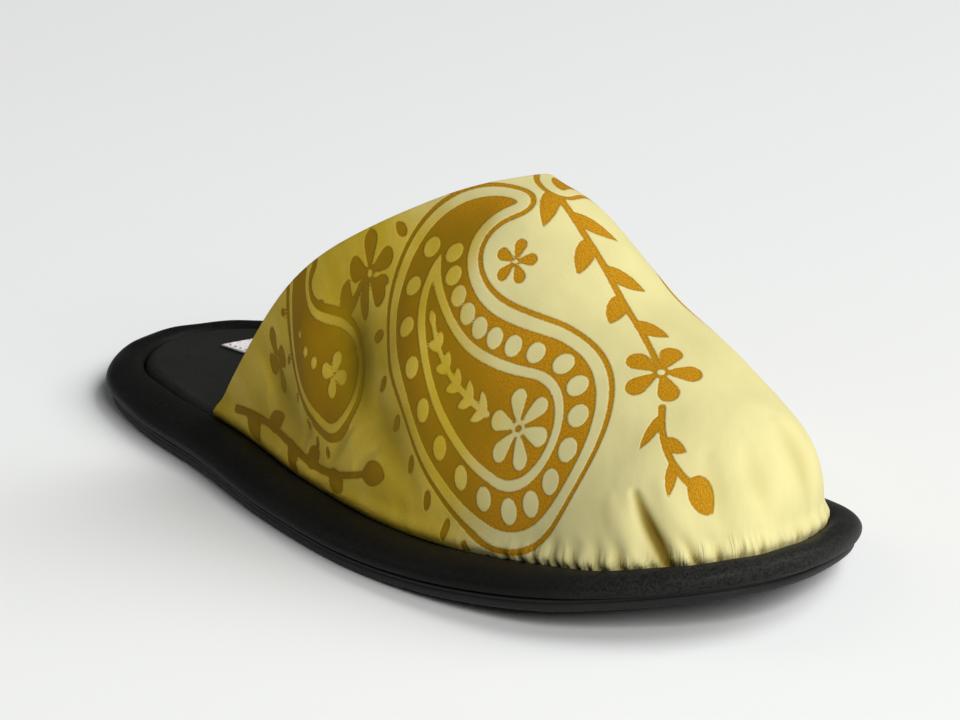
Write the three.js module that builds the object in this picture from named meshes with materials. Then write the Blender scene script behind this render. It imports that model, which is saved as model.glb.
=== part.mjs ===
// A backless house slipper with a closed toe, right shoe, standing empty on its sole.
// Millimetres, +Z up, +X towards the toe, +Y towards the inner (medial) side of the foot.
// Every piece follows one outline of the sole, so a change of a driving size moves them all.

import * as THREE from 'three';
import { mergeVertices } from 'three/addons/utils/BufferGeometryUtils.js';

// ---- Driving sizes ---------------------------------------------------------------------

const LENGTH = 275;
const BALL_WIDTH = 100;
const INSTEP_HEIGHT = 78;

const TOE_SPRING = 9;
const SPRING_START = 0.62;
const ARCH_RISE = 1.2;
const ARCH_MIDDLE = 0.36;
const ARCH_REACH = 0.16;
const ARCH_AT_LATERAL_EDGE = 0.3;

const GAP = 0.3;
const OUTSOLE_TOP = 3;
const OUTSOLE_INSET = 1.3;
const BINDING_TOP = 8.6;
const BINDING_WIDTH_HEEL = 13.3;
const BINDING_WIDTH_TOE = 7.2;
const NARROWS_FROM = 0.84;
const NARROWS_TO = 0.96;
const INSOLE_TOP = 7.4;
const INSOLE_DOME = 2;
const DOME_ENDS = 15;
const DOME_FULL = 60;
const UPPER_WALL = 3;
const LABEL = { fromHeel: 29, medial: -1.5, length: 32, width: 19, thickness: 0.5 };

// Half widths of the sole as shares of the ball width. The turn runs in degrees from the back
// of the heel, 0, to the tip of the toe, 180, so the rows crowd where the outline is round.
const OUTLINE = [
  { turn: 18, lateral: 0.178, medial: 0.191 },
  { turn: 36, lateral: 0.33, medial: 0.34 },
  { turn: 54, lateral: 0.413, medial: 0.408 },
  { turn: 72, lateral: 0.458, medial: 0.426 },
  { turn: 90, lateral: 0.518, medial: 0.44 },
  { turn: 108, lateral: 0.54, medial: 0.472 },
  { turn: 126, lateral: 0.495, medial: 0.49 },
  { turn: 144, lateral: 0.387, medial: 0.412 },
  { turn: 162, lateral: 0.196, medial: 0.209 },
];

// Height of the upper's crown over the insole as a share of the instep height, along the
// length. Behind the instep only the sides of these sections are cloth: the collar cuts them.
const CROWN = [
  { along: 0.22, height: 1.43 },
  { along: 0.4, height: 1.27 },
  { along: 0.545, height: 0.978 },
  { along: 0.6, height: 0.912 },
  { along: 0.645, height: 0.882 },
  { along: 0.7, height: 0.763 },
  { along: 0.765, height: 0.62 },
  { along: 0.875, height: 0.5 },
];
const NOSE_START = 0.755;
const RIDGE_TO_MEDIAL = 10;
const RIDGE_FADE = 30;

// The padded toe swells out over the binding by this much, between these shares of the length.
const TOE_BELLY = 2.4;
const BELLY_FROM = 0.72;
const BELLY_FULL = 0.88;
const BELLY_FADE = 14;

// Roundness of the sections: 2 is an ellipse, more is fuller, less is leaner.
const LATERAL_FULLNESS = 1.65;
const MEDIAL_FULLNESS = 3;
const CROWN_FULLNESS = 1.8;

// The collar's edge along the length: its two ends at the sole and its peak on the instep.
const COLLAR = {
  lateralEnd: 0.281,
  medialEnd: 0.38,
  peak: 0.597,
  lateralSweep: 1.05,
  medialSweep: 2,
};

// ---- Fineness of the facets --------------------------------------------------------------

const OUTLINE_STEPS = 96;
const CAP_COLUMNS = 6;
const SECTION_STEPS = 30;
const UPPER_STEPS = 20;
const EDGE_SAMPLES = 600;

// ---- Helpers -------------------------------------------------------------------------------

/** Smooth curve through one column of a table, with Hermite pieces between its rows. */
function smoothColumn(rows, at, key) {
  const slope = (low, high) => (rows[high][key] - rows[low][key]) / (rows[high][at] - rows[low][at]);
  const last = rows.length - 1;
  return (place) => {
    const x = THREE.MathUtils.clamp(place, rows[0][at], rows[last][at]);
    let i = 0;
    while (i < last - 1 && x > rows[i + 1][at]) i += 1;
    const span = rows[i + 1][at] - rows[i][at];
    const t = (x - rows[i][at]) / span;
    const slopeIn = slope(Math.max(i - 1, 0), i + 1) * span;
    const slopeOut = slope(i, Math.min(i + 2, last)) * span;
    const rise = rows[i + 1][key] - rows[i][key];
    const bend = slopeIn + slopeOut - 2 * rise;
    return rows[i][key] + t * (slopeIn + t * (3 * rise - 2 * slopeIn - slopeOut + t * bend));
  };
}

/** Collects patches of quads and closes them into one solid. */
class Skin {
  constructor() {
    this.positions = [];
  }

  triangle(a, b, c) {
    const thin = 1e-5;
    if (a.distanceTo(b) > thin && b.distanceTo(c) > thin && c.distanceTo(a) > thin) {
      for (const point of [a, b, c]) this.positions.push(point.x, point.y, point.z);
    }
  }

  /** Joins each row of points to the next one. */
  patch(rows) {
    for (let i = 0; i + 1 < rows.length; i += 1) {
      for (let j = 0; j + 1 < rows[i].length; j += 1) {
        this.triangle(rows[i][j], rows[i][j + 1], rows[i + 1][j + 1]);
        this.triangle(rows[i][j], rows[i + 1][j + 1], rows[i + 1][j]);
      }
    }
  }

  geometry() {
    const loose = new THREE.BufferGeometry();
    loose.setAttribute('position', new THREE.Float32BufferAttribute(this.positions, 3));
    const solid = mergeVertices(loose, 1e-4);
    solid.computeVertexNormals();
    return solid;
  }
}

const closed = (loop) => [...loop, loop[0]];

// ---- The sole's outline and how it lies ------------------------------------------------------

function outlineCurve() {
  const at = (row) => (LENGTH * (1 - Math.cos(THREE.MathUtils.degToRad(row.turn)))) / 2;
  const lateral = OUTLINE.map((row) => new THREE.Vector3(at(row), -row.lateral * BALL_WIDTH, 0));
  const medial = OUTLINE.map((row) => new THREE.Vector3(at(row), row.medial * BALL_WIDTH, 0));
  const heel = new THREE.Vector3(0, 0, 0);
  const toe = new THREE.Vector3(LENGTH, 0, 0);
  const knots = [heel, ...lateral, toe, ...medial.reverse()];
  return new THREE.CatmullRomCurve3(knots, true, 'catmullrom', 0.5);
}

const OUTLINE_CURVE = outlineCurve();

/** Height of the ground face at a place: flat heel and ball, low arch, lifted toe. */
function lift(x, y) {
  const spring = Math.max(0, (x / LENGTH - SPRING_START) / (1 - SPRING_START));
  const fromArch = Math.min(1, Math.abs(x / LENGTH - ARCH_MIDDLE) / ARCH_REACH);
  const across = THREE.MathUtils.smoothstep(y, -BALL_WIDTH / 2, BALL_WIDTH / 2);
  const share = THREE.MathUtils.lerp(ARCH_AT_LATERAL_EDGE, 1, across);
  return TOE_SPRING * spring ** 2 + ARCH_RISE * share * Math.cos((fromArch * Math.PI) / 2) ** 2;
}

/** Width of the padded binding, which narrows round the toe. */
function bindingWidth(x) {
  const share = THREE.MathUtils.smoothstep(x / LENGTH, NARROWS_FROM, NARROWS_TO);
  return THREE.MathUtils.lerp(BINDING_WIDTH_HEEL, BINDING_WIDTH_TOE, share);
}

/** A point at a turn of the outline, moved inwards and up from the lie of the sole. */
function edgePoint(turn, inset, height) {
  const point = OUTLINE_CURVE.getPoint(turn % 1);
  const tangent = OUTLINE_CURVE.getTangent(turn % 1);
  point.x -= tangent.y * inset(point.x);
  point.y += tangent.x * inset(point.x);
  point.z = height + lift(point.x, point.y);
  return point;
}

/** A closed loop round the sole, anticlockwise from the back of the heel. */
function edgeLoop(inset, height, steps = OUTLINE_STEPS) {
  return Array.from({ length: steps }, (_, i) => edgePoint(i / steps, inset, height));
}

const constant = (value) => () => value;
const insideBinding = (extra) => (x) => bindingWidth(x) + GAP + extra;

// ---- Slabs: outsole and insole -----------------------------------------------------------------

/** Rows of points across the sole between the two sides of a loop, crowned by a dome. */
function cap(loop, dome) {
  const half = loop.length / 2;
  const rows = [];
  for (let i = 0; i <= half; i += 1) {
    const lateral = loop[i];
    const medial = loop[(loop.length - i) % loop.length];
    const row = [];
    for (let j = 0; j <= CAP_COLUMNS; j += 1) {
      const point = lateral.clone().lerp(medial, j / CAP_COLUMNS);
      const onEdge = i === 0 || i === half || j === 0 || j === CAP_COLUMNS;
      if (!onEdge) point.z += domeAt(point.x, j / CAP_COLUMNS, dome) + sag(point, lateral, medial);
      row.push(point);
    }
    rows.push(row);
  }
  return rows;
}

/** Corrects a straight row across the sole to the lie of the ground face under it. */
function sag(point, lateral, medial) {
  const share = (point.y - lateral.y) / (medial.y - lateral.y);
  const straight = THREE.MathUtils.lerp(lift(lateral.x, lateral.y), lift(medial.x, medial.y), share);
  return lift(point.x, point.y) - straight;
}

/** Crown of a padded face: full along the middle, none at the edge and at both ends. */
function domeAt(x, across, dome) {
  const ends = THREE.MathUtils.smoothstep(Math.min(x, LENGTH - x), DOME_ENDS, DOME_FULL);
  return dome * ends * (4 * across * (1 - across)) ** 2;
}

/** A slab closed by two caps; the profile runs up its side as rows of inset and height. */
function slab(profile, dome) {
  const loops = profile.map((row) => edgeLoop(row.inset, row.height));
  const skin = new Skin();
  skin.patch(loops.map(closed));
  skin.patch(cap(loops[0], 0));
  skin.patch(cap(loops[loops.length - 1], dome).reverse());
  return skin.geometry();
}

function outsole() {
  return slab([
    { inset: constant(OUTSOLE_INSET + 1.4), height: 0 },
    { inset: constant(OUTSOLE_INSET + 0.4), height: 0.4 },
    { inset: constant(OUTSOLE_INSET), height: 1.3 },
    { inset: constant(OUTSOLE_INSET), height: OUTSOLE_TOP },
  ], 0);
}

function insole() {
  return slab([
    { inset: insideBinding(0), height: OUTSOLE_TOP + GAP },
    { inset: insideBinding(0), height: INSOLE_TOP - 0.4 },
    { inset: insideBinding(0.4), height: INSOLE_TOP },
  ], INSOLE_DOME);
}

// ---- Ring: the padded binding round the edge of the sole ----------------------------------------

/** Cross-section of the binding; across is a share of its width, from the outer edge in. */
const BINDING_SECTION = [
  { across: 1, height: OUTSOLE_TOP + GAP },
  { across: 0.13, height: OUTSOLE_TOP + GAP },
  { across: 0.04, height: 4.0 },
  { across: 0, height: 5.3 },
  { across: 0.03, height: 6.6 },
  { across: 0.12, height: 7.8 },
  { across: 0.3, height: 8.5 },
  { across: 0.52, height: BINDING_TOP },
  { across: 0.8, height: 8.3 },
  { across: 1, height: INSOLE_TOP + GAP },
];

function binding() {
  const loops = BINDING_SECTION.map((row) => edgeLoop((x) => bindingWidth(x) * row.across, row.height));
  const skin = new Skin();
  skin.patch([...loops, loops[0]].map(closed));
  return skin.geometry();
}

// ---- Shell: the hollow upper ----------------------------------------------------------------------

/** Half width of the space inside the binding at a station, on one side of the shoe. */
function sideLine(turnFrom, turnTo, inset) {
  const points = [];
  for (let i = 0; i <= EDGE_SAMPLES; i += 1) {
    points.push(edgePoint(THREE.MathUtils.lerp(turnFrom, turnTo, i / EDGE_SAMPLES), inset, 0));
  }
  return (x) => {
    let i = 1;
    while (i < EDGE_SAMPLES && points[i].x < x) i += 1;
    const share = THREE.MathUtils.clamp((x - points[i - 1].x) / (points[i].x - points[i - 1].x), 0, 1);
    return THREE.MathUtils.lerp(points[i - 1].y, points[i].y, share);
  };
}

/** One face of the upper's wall, at a depth under its outer face. */
class UpperFace {
  constructor(depth) {
    this.depth = depth;
    this.lateral = sideLine(0, 0.5, insideBinding(depth));
    this.medial = sideLine(1, 0.5, insideBinding(depth));
    this.crown = smoothColumn(CROWN, 'along', 'height');
    this.tip = LENGTH - bindingWidth(LENGTH) - GAP - depth;
  }

  /** Rise of the crown over the insole: the instep, the vamp and the rounded nose. */
  rise(x) {
    const nose = Math.max(0, (x / LENGTH - NOSE_START) / (this.tip / LENGTH - NOSE_START));
    const rounding = Math.sqrt(Math.max(0, 1 - nose ** 2));
    return (this.crown(x / LENGTH) * INSTEP_HEIGHT - this.depth) * rounding;
  }

  /** How far the sides swell out at a station; nothing is left of it at the very tip. */
  belly(x) {
    const grown = THREE.MathUtils.smoothstep(x / LENGTH, BELLY_FROM, BELLY_FULL);
    return TOE_BELLY * grown * THREE.MathUtils.clamp((this.tip - x) / BELLY_FADE, 0, 1);
  }

  /** A point of the section at a station; the angle turns from the lateral side, 0, to PI. */
  point(x, angle) {
    const side = Math.cos(angle);
    const up = Math.max(0, Math.sin(angle));
    const lateral = this.lateral(x);
    const medial = this.medial(x);
    const fade = THREE.MathUtils.clamp((this.tip - x) / RIDGE_FADE, 0, 1);
    const ridge = (lateral + medial) / 2 + RIDGE_TO_MEDIAL * fade;
    const edge = side > 0 ? lateral : medial;
    const fullness = side > 0 ? LATERAL_FULLNESS : MEDIAL_FULLNESS;
    const belly = this.belly(x) * Math.abs(Math.sin(2 * angle)) * -Math.sign(side);
    const y = ridge + (edge - ridge) * Math.abs(side) ** (2 / fullness) + belly;
    const z = INSOLE_TOP + GAP + lift(x, y) + this.rise(x) * up ** (2 / CROWN_FULLNESS);
    return new THREE.Vector3(x, y, z);
  }

  /** Rows of points from the collar to the toe, one row for each angle. */
  rows() {
    return Array.from({ length: SECTION_STEPS + 1 }, (_, i) => {
      const angle = (Math.PI * i) / SECTION_STEPS;
      const start = collarStation(angle);
      return Array.from({ length: UPPER_STEPS + 1 }, (__, j) => {
        const along = Math.sin((Math.PI * j) / UPPER_STEPS / 2);
        if (j === UPPER_STEPS) return this.point(this.tip, 0);
        return this.point(THREE.MathUtils.lerp(start, this.tip, along), angle);
      });
    });
  }
}

/** Station of the collar's edge at an angle round the section. */
function collarStation(angle) {
  const onLateral = Math.cos(angle) > 0;
  const end = onLateral ? COLLAR.lateralEnd : COLLAR.medialEnd;
  const sweep = onLateral ? COLLAR.lateralSweep : COLLAR.medialSweep;
  return LENGTH * THREE.MathUtils.lerp(end, COLLAR.peak, Math.max(0, Math.sin(angle)) ** sweep);
}

function upper() {
  const outer = new UpperFace(0).rows();
  const inner = new UpperFace(UPPER_WALL).rows();
  const skin = new Skin();
  skin.patch(outer);
  skin.patch([...inner].reverse());
  const collarOf = (rows) => rows.map((row) => row[0]);
  skin.patch([collarOf(outer), collarOf(inner)]);
  skin.patch([inner[0], outer[0]]);
  skin.patch([outer[SECTION_STEPS], inner[SECTION_STEPS]]);
  return skin.geometry();
}

// ---- Sheet: the blank label sewn on the insole -------------------------------------------------------

/** Height of the insole's padded face at a place. */
function insoleFace(x, y) {
  const lateral = sideLine(0, 0.5, insideBinding(0.4))(x);
  const medial = sideLine(1, 0.5, insideBinding(0.4))(x);
  const across = (y - lateral) / (medial - lateral);
  return INSOLE_TOP + lift(x, y) + domeAt(x, across, INSOLE_DOME);
}

function label() {
  const steps = 4;
  const face = (height) => Array.from({ length: steps + 1 }, (_, i) => (
    Array.from({ length: steps + 1 }, (__, j) => {
      const x = LABEL.fromHeel + (LABEL.length * i) / steps;
      const y = LABEL.medial + (LABEL.width * j) / steps;
      return new THREE.Vector3(x, y, insoleFace(x, y) + height);
    })
  ));
  const low = face(GAP);
  const high = face(GAP + LABEL.thickness);
  const rim = (rows) => [
    ...rows.map((row) => row[0]),
    ...rows[steps].slice(1),
    ...rows.map((row) => row[steps]).reverse().slice(1),
    ...[...rows[0]].reverse().slice(1),
  ];
  const skin = new Skin();
  skin.patch([...high].reverse());
  skin.patch(low);
  skin.patch([rim(low), rim(high)]);
  return skin.geometry();
}

// ---- The slipper ---------------------------------------------------------------------------------------

const MATERIALS = {
  upper: { color: 0xd9cb78, roughness: 0.42, metalness: 0.05 },
  binding: { color: 0x1c1c1b, roughness: 0.8, metalness: 0 },
  insole: { color: 0x262624, roughness: 0.9, metalness: 0 },
  outsole: { color: 0x2c2d2b, roughness: 0.6, metalness: 0 },
  label: { color: 0xe9e5e0, roughness: 0.7, metalness: 0 },
};

function piece(name, geometry, finish) {
  const mesh = new THREE.Mesh(geometry, new THREE.MeshStandardMaterial(finish));
  mesh.name = name;
  return mesh;
}

const last = new THREE.Group();
last.add(
  piece('outsole', outsole(), MATERIALS.outsole),
  piece('insole', insole(), MATERIALS.insole),
  piece('edge_binding', binding(), MATERIALS.binding),
  piece('upper', upper(), MATERIALS.upper),
  piece('insole_label', label(), MATERIALS.label),
);

// The origin is under the middle of the slipper's box, on the ground.
const footprint = new THREE.Box3().setFromPoints(edgeLoop(constant(0), 0));
const middle = footprint.getCenter(new THREE.Vector3());
last.position.set(-middle.x, -middle.y, 0);

const slipper = new THREE.Group();
slipper.add(last);

export default slipper;
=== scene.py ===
"""A backless house slipper with a closed toe, right shoe, standing empty on a pale floor.

The padded brocade upper, the bound edge, the footbed, the label and the outsole are modelled
in the slipper's own sizes: millimetres from the back of the heel, +X to the toe, +Y to the
inner side of the foot, +Z up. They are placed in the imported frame, in metres, at the end.
"""

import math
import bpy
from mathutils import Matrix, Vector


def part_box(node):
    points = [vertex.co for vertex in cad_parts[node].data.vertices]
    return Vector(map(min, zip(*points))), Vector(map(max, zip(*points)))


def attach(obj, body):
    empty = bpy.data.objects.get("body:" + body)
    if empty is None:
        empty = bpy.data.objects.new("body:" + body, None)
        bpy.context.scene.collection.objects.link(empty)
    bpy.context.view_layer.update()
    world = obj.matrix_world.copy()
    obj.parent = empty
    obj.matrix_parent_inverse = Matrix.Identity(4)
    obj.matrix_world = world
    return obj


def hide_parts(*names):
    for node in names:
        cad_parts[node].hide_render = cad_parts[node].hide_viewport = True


bl_info = {
    "name": "House Slipper",
    "version": (1, 0, 0),
    "blender": (4, 5, 0),
    "location": "3D View > Sidebar > Slipper",
    "description": "Builds the soft pieces and finishes of a brocade house slipper",
    "category": "Add Mesh",
}

import bmesh
import bpy
import numpy as np
from mathutils import Matrix, Vector

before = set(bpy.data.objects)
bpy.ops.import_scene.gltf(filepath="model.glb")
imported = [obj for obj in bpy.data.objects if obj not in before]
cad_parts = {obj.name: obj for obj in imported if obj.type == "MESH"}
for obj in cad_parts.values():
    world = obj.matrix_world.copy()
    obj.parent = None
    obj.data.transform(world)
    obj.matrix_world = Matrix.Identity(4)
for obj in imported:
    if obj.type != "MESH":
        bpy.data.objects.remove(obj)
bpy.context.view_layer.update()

# ---- The last: sizes that the whole slipper follows ----

MM = 0.001
BINDING_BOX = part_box("edge_binding")
LENGTH = (BINDING_BOX[1].x - BINDING_BOX[0].x) / MM
BALL_WIDTH = 100.0
INSTEP_HEIGHT = 78.0

TOE_SPRING = 9.0
SPRING_START = 0.62
ARCH_RISE = 1.2
ARCH_MIDDLE = 0.36
ARCH_REACH = 0.16
ARCH_AT_LATERAL_EDGE = 0.3

GAP = 0.3
OUTSOLE_TOP = 3.0
SEAT = OUTSOLE_TOP + GAP
BINDING_WIDTH_HEEL = 9.0
BINDING_WIDTH_SIDE = 13.3
BINDING_WIDTH_TOE = 7.2
FOOTBED_ROLL = 3.0
HEEL_PUFF = 1.0
INSOLE_TOP = 7.4
FEATHER = INSOLE_TOP + GAP
TOE_TUCK = 2.0

# Where a change along the slipper starts and ends, as shares of its length.
BINDING_WIDENS = (0.03, 0.27)
BINDING_NARROWS = (0.84, 0.96)
OUTSOLE_TUCKS = (0.88, 0.985)
PUFF_ENDS = (0.17, 0.3)
BELLY_SWELLS = (0.72, 0.88)

# The turn, in degrees from the back of the heel, 0, to the tip of the toe, 180, and the half
# widths of the sole on the lateral and the medial side, as shares of the ball width.
OUTLINE = [
    (18, 0.178, 0.191), (36, 0.33, 0.34), (54, 0.413, 0.408),
    (72, 0.458, 0.426), (90, 0.518, 0.44), (108, 0.54, 0.472),
    (126, 0.495, 0.49), (144, 0.387, 0.412), (162, 0.196, 0.209),
]

# Stations along the crown, as shares of the length, and its height over the insole, as shares of
# the instep height.
CROWN = [
    (0.22, 1.43), (0.4, 1.27), (0.545, 0.978), (0.6, 0.912),
    (0.645, 0.882), (0.7, 0.763), (0.765, 0.62), (0.875, 0.5),
]
NOSE_START = 0.755
RIDGE_TO_MEDIAL = 10.0
RIDGE_FADE = 30.0
TOE_BELLY = 2.4
BELLY_FADE = 14.0
LATERAL_FULLNESS = 1.65
MEDIAL_FULLNESS = 3.0
CROWN_FULLNESS = 1.8
COLLAR = {
    "lateral_end": 0.281,
    "medial_end": 0.38,
    "peak": 0.597,
    "lateral_sweep": 1.05,
    "medial_sweep": 2.0,
    "shoulder": 0.75,
    "shoulder_power": 9,
}

# The upper's grid: where its form starts, the section that its rows divide evenly, the line round
# the section along which its columns are even, and how often it is softened.
FORM_START = 0.2 * LENGTH
BALL_STATION = 0.68 * LENGTH
SPACING_ANGLE = 0.3 * math.pi
RELAX_PASSES = 40

# How finely curves are measured, and how near the tip of the toe that goes.
SIDE_POINTS = 1201
FOOTPRINT_POINTS = 2001
PROFILE_POINTS = 4001
TIP_POINTS = 60
GIRTH_POINTS = 721
GIRTH_STATIONS = 240
LAST_TO_TIP = 1e-4
SHORT_OF_TIP = 0.05


def smoothstep(value, low, high):
    """0 below low, 1 above high and an S-curve between them."""
    share = np.clip((value - low) / (high - low), 0, 1)
    return share * share * (3 - 2 * share)


def smooth_curve(rows, place):
    """A smooth curve through rows of a station and a value, with Hermite pieces between them."""
    stations, values = np.array(rows).T
    last = len(rows) - 1
    place = np.clip(place, stations[0], stations[-1])
    i = np.clip(np.searchsorted(stations, place, side="right") - 1, 0, last - 1)
    before, after = np.maximum(i - 1, 0), np.minimum(i + 2, last)
    span = stations[i + 1] - stations[i]
    t = (place - stations[i]) / span
    slope_in = (values[i + 1] - values[before]) / (stations[i + 1] - stations[before]) * span
    slope_out = (values[after] - values[i]) / (stations[after] - stations[i]) * span
    rise = values[i + 1] - values[i]
    bend = slope_in + slope_out - 2 * rise
    return values[i] + t * (slope_in + t * (3 * rise - 2 * slope_in - slope_out + t * bend))


# ---- The sole's outline and how it lies ----


def outline_knots():
    """The heel's back, the lateral side, the toe's tip and the medial side, in that order."""
    turn, lateral, medial = np.array(OUTLINE).T
    stations = LENGTH * (1 - np.cos(np.radians(turn))) / 2
    lateral_side = np.stack([stations, -lateral * BALL_WIDTH], -1)
    medial_side = np.stack([stations, medial * BALL_WIDTH], -1)
    return np.array([(0, 0), *lateral_side, (LENGTH, 0), *medial_side[::-1]])


KNOTS = outline_knots()


def outline(turns):
    """Points and unit tangents of the outline; a turn of 1 goes once round the sole."""
    count = len(KNOTS)
    place = (np.asarray(turns, float) % 1) * count
    i = np.floor(place).astype(int)
    t = (place - i)[..., None]
    before, start, end, after = (KNOTS[(i + k) % count] for k in (-1, 0, 1, 2))
    leave, arrive = (end - before) / 2, (after - start) / 2
    square = 3 * (end - start) - 2 * leave - arrive
    cube = 2 * (start - end) + leave + arrive
    points = start + t * (leave + t * (square + t * cube))
    tangents = leave + t * (2 * square + 3 * t * cube)
    return points, tangents / np.linalg.norm(tangents, axis=-1, keepdims=True)


def lift(x, y):
    """Height of the ground face at a place: flat heel and ball, low arch, lifted toe."""
    spring = np.maximum(0, (x / LENGTH - SPRING_START) / (1 - SPRING_START))
    from_arch = np.minimum(1, np.abs(x / LENGTH - ARCH_MIDDLE) / ARCH_REACH)
    across = smoothstep(y, -BALL_WIDTH / 2, BALL_WIDTH / 2)
    share = ARCH_AT_LATERAL_EDGE + (1 - ARCH_AT_LATERAL_EDGE) * across
    return TOE_SPRING * spring**2 + ARCH_RISE * share * np.cos(from_arch * math.pi / 2) ** 2


def binding_width(x):
    """Width of the padded binding, which is widest along the sides."""
    widening = smoothstep(x / LENGTH, *BINDING_WIDENS)
    narrowing = smoothstep(x / LENGTH, *BINDING_NARROWS)
    width = BINDING_WIDTH_HEEL + (BINDING_WIDTH_SIDE - BINDING_WIDTH_HEEL) * widening
    return width + (BINDING_WIDTH_TOE - BINDING_WIDTH_SIDE) * narrowing


def edge_points(turns, inset, height):
    """Points round the sole, moved inwards by inset(x) and up to a height over its lie."""
    flat, tangents = outline(turns)
    inwards = inset(flat[..., 0])
    x = flat[..., 0] - tangents[..., 1] * inwards
    y = flat[..., 1] + tangents[..., 0] * inwards
    return np.stack([x, y, height + lift(x, y)], -1)


def tucked(inset):
    """An inset that grows under the lifted tip of the toe."""
    return lambda x: inset + TOE_TUCK * smoothstep(x / LENGTH, *OUTSOLE_TUCKS)


def inside_binding(extra):
    """An inset that follows the inner edge of the binding."""
    return lambda x: binding_width(x) + GAP + extra


def side_lines(inset):
    """Stations and places across of the lateral and then the medial side, at an inset."""
    lines = []
    for heel in (0, 1):
        points = edge_points(np.linspace(heel, 0.5, SIDE_POINTS), inset, 0)
        lines.append((points[:, 0], points[:, 1]))
    return lines


def frame_offset():
    """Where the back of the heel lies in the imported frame, in millimetres."""
    footprint, _ = outline(np.linspace(0, 1, FOOTPRINT_POINTS))
    lowest = BINDING_BOX[0] / MM
    return np.array([lowest.x, lowest.y - footprint[:, 1].min(), 0])


HEEL_IN_FRAME = frame_offset()


# ---- The upper's form ----


class UpperForm:
    """The smooth form of the upper at a depth under its outer face."""

    def __init__(self, depth):
        self.depth = depth
        self.sides = side_lines(inside_binding(depth))
        self.tip = LENGTH - BINDING_WIDTH_TOE - GAP - depth

    def rise(self, x):
        """Rise of the crown over the insole: the instep, the vamp and the rounded nose."""
        nose = np.maximum(0, (x / LENGTH - NOSE_START) / (self.tip / LENGTH - NOSE_START))
        crown = smooth_curve(CROWN, x / LENGTH) * INSTEP_HEIGHT
        return (crown - self.depth) * np.sqrt(np.maximum(0, 1 - nose**2))

    def ridge(self, x):
        """Place of the crown across the slipper, which leans to the inner side."""
        lateral, medial = (np.interp(x, *side) for side in self.sides)
        fade = np.clip((self.tip - x) / RIDGE_FADE, 0, 1)
        return (lateral + medial) / 2 + RIDGE_TO_MEDIAL * fade

    def points(self, x, angle):
        """Points of the form; the angle turns from the lateral side, 0, to the medial, pi."""
        x, angle = np.broadcast_arrays(x, angle)
        side, up = np.cos(angle), np.maximum(0, np.sin(angle))
        on_lateral = side > 0
        lateral, medial = (np.interp(x, *line) for line in self.sides)
        edge = np.where(on_lateral, lateral, medial)
        fullness = np.where(on_lateral, LATERAL_FULLNESS, MEDIAL_FULLNESS)
        swell = TOE_BELLY * smoothstep(x / LENGTH, *BELLY_SWELLS)
        swell = swell * np.clip((self.tip - x) / BELLY_FADE, 0, 1) * np.abs(np.sin(2 * angle))
        ridge = self.ridge(x)
        y = ridge + (edge - ridge) * np.abs(side) ** (2 / fullness) - swell * np.sign(side)
        z = FEATHER + lift(x, y) + self.rise(x) * up ** (2 / CROWN_FULLNESS)
        return np.stack([x, y, z], -1)


def collar_station(angle):
    """Station of the collar's edge at an angle round the section."""
    on_lateral = np.cos(angle) > 0
    end = np.where(on_lateral, COLLAR["lateral_end"], COLLAR["medial_end"])
    sweep = np.where(on_lateral, COLLAR["lateral_sweep"], COLLAR["medial_sweep"])
    up = np.maximum(0, np.sin(angle))
    swell = up ** COLLAR["shoulder_power"] * (1 - up)
    shoulder = np.where(on_lateral, COLLAR["shoulder"], 0) * swell
    return LENGTH * (end + (COLLAR["peak"] - end) * (up**sweep - shoulder))


def arc_lengths(points):
    """Lengths along a line of points, from 0."""
    steps = np.linalg.norm(np.diff(points, axis=0), axis=1)
    return np.concatenate([[0], np.cumsum(steps)])


def even_angles(form, count):
    """Angles that cut the section over the ball into steps of one length."""
    fine = np.linspace(0, math.pi, PROFILE_POINTS)
    lengths = arc_lengths(form.points(BALL_STATION, fine))
    return np.interp(np.linspace(0, lengths[-1], count), lengths, fine)


def form_grid(form, angles, count, setback):
    """Rows of points from the collar to the toe, one row for each angle."""
    fine = np.linspace(FORM_START, form.tip, PROFILE_POINTS)
    to_tip = np.geomspace(fine[-1] - fine[-2], LAST_TO_TIP, TIP_POINTS)
    fine = np.concatenate([fine[:-1], form.tip - to_tip])
    lengths = arc_lengths(form.points(fine, SPACING_ANGLE))
    start = np.interp(collar_station(angles) + setback, fine, lengths)[:, None]
    share = np.linspace(0, 1, count)[None, :]
    x = np.interp(start + (lengths[-1] - start) * share, lengths, fine)
    return form.points(x, angles[:, None]), x


def relax(points):
    """Softens a grid of points along both of its ways, with its rim held."""
    soft = points.copy()
    for _ in range(RELAX_PASSES):
        soft[1:-1] = (soft[:-2] + 2 * soft[1:-1] + soft[2:]) / 4
        soft[:, 1:-1] = (soft[:, :-2] + 2 * soft[:, 1:-1] + soft[:, 2:]) / 4
    return soft


# ---- Creases, dents and gathers, placed in the slipper's own sizes ----

TOE_CENTRE = (214.0, 0.0)
LEAST_RADIUS = 8.0

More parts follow.
